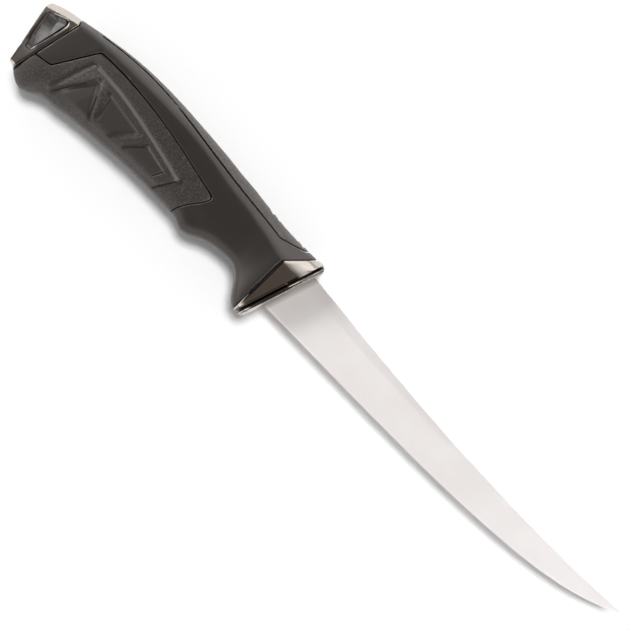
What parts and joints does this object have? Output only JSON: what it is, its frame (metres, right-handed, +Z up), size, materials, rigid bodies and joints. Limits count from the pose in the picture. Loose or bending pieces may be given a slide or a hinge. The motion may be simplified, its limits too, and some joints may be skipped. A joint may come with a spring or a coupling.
{
  "type": "fillet knife",
  "caption": "Fixed-blade fillet knife with a thin upswept stainless blade, cast bolster, soft grip over a hard handle core and a pommel cap with a lanyard hole.",
  "frame": {"origin": "on the surface that the knife lies on, under the middle of its box", "axes": "+X from the pommel to the tip of the blade, +Y from the cutting edge to the spine, +Z up out of the knife's right side"},
  "size_m": [0.2742, 0.0374, 0.0228],
  "materials": {
    "blade_steel": "satin",
    "gunmetal": "satin gunmetal plating",
    "core_plastic": "matte",
    "soft_grip": "fine stipple",
    "fastener_steel": "plain"
  },
  "bodies": {
    "root": {"blade": "blade_steel", "bolster": "gunmetal", "core_right": "core_plastic", "core_left": "core_plastic", "belly_grip": "soft_grip", "spine_strip": "soft_grip", "pommel_cap": "gunmetal", "tang_rivets": "fastener_steel", "pommel_pin": "fastener_steel"}
  },
  "joints": []
}
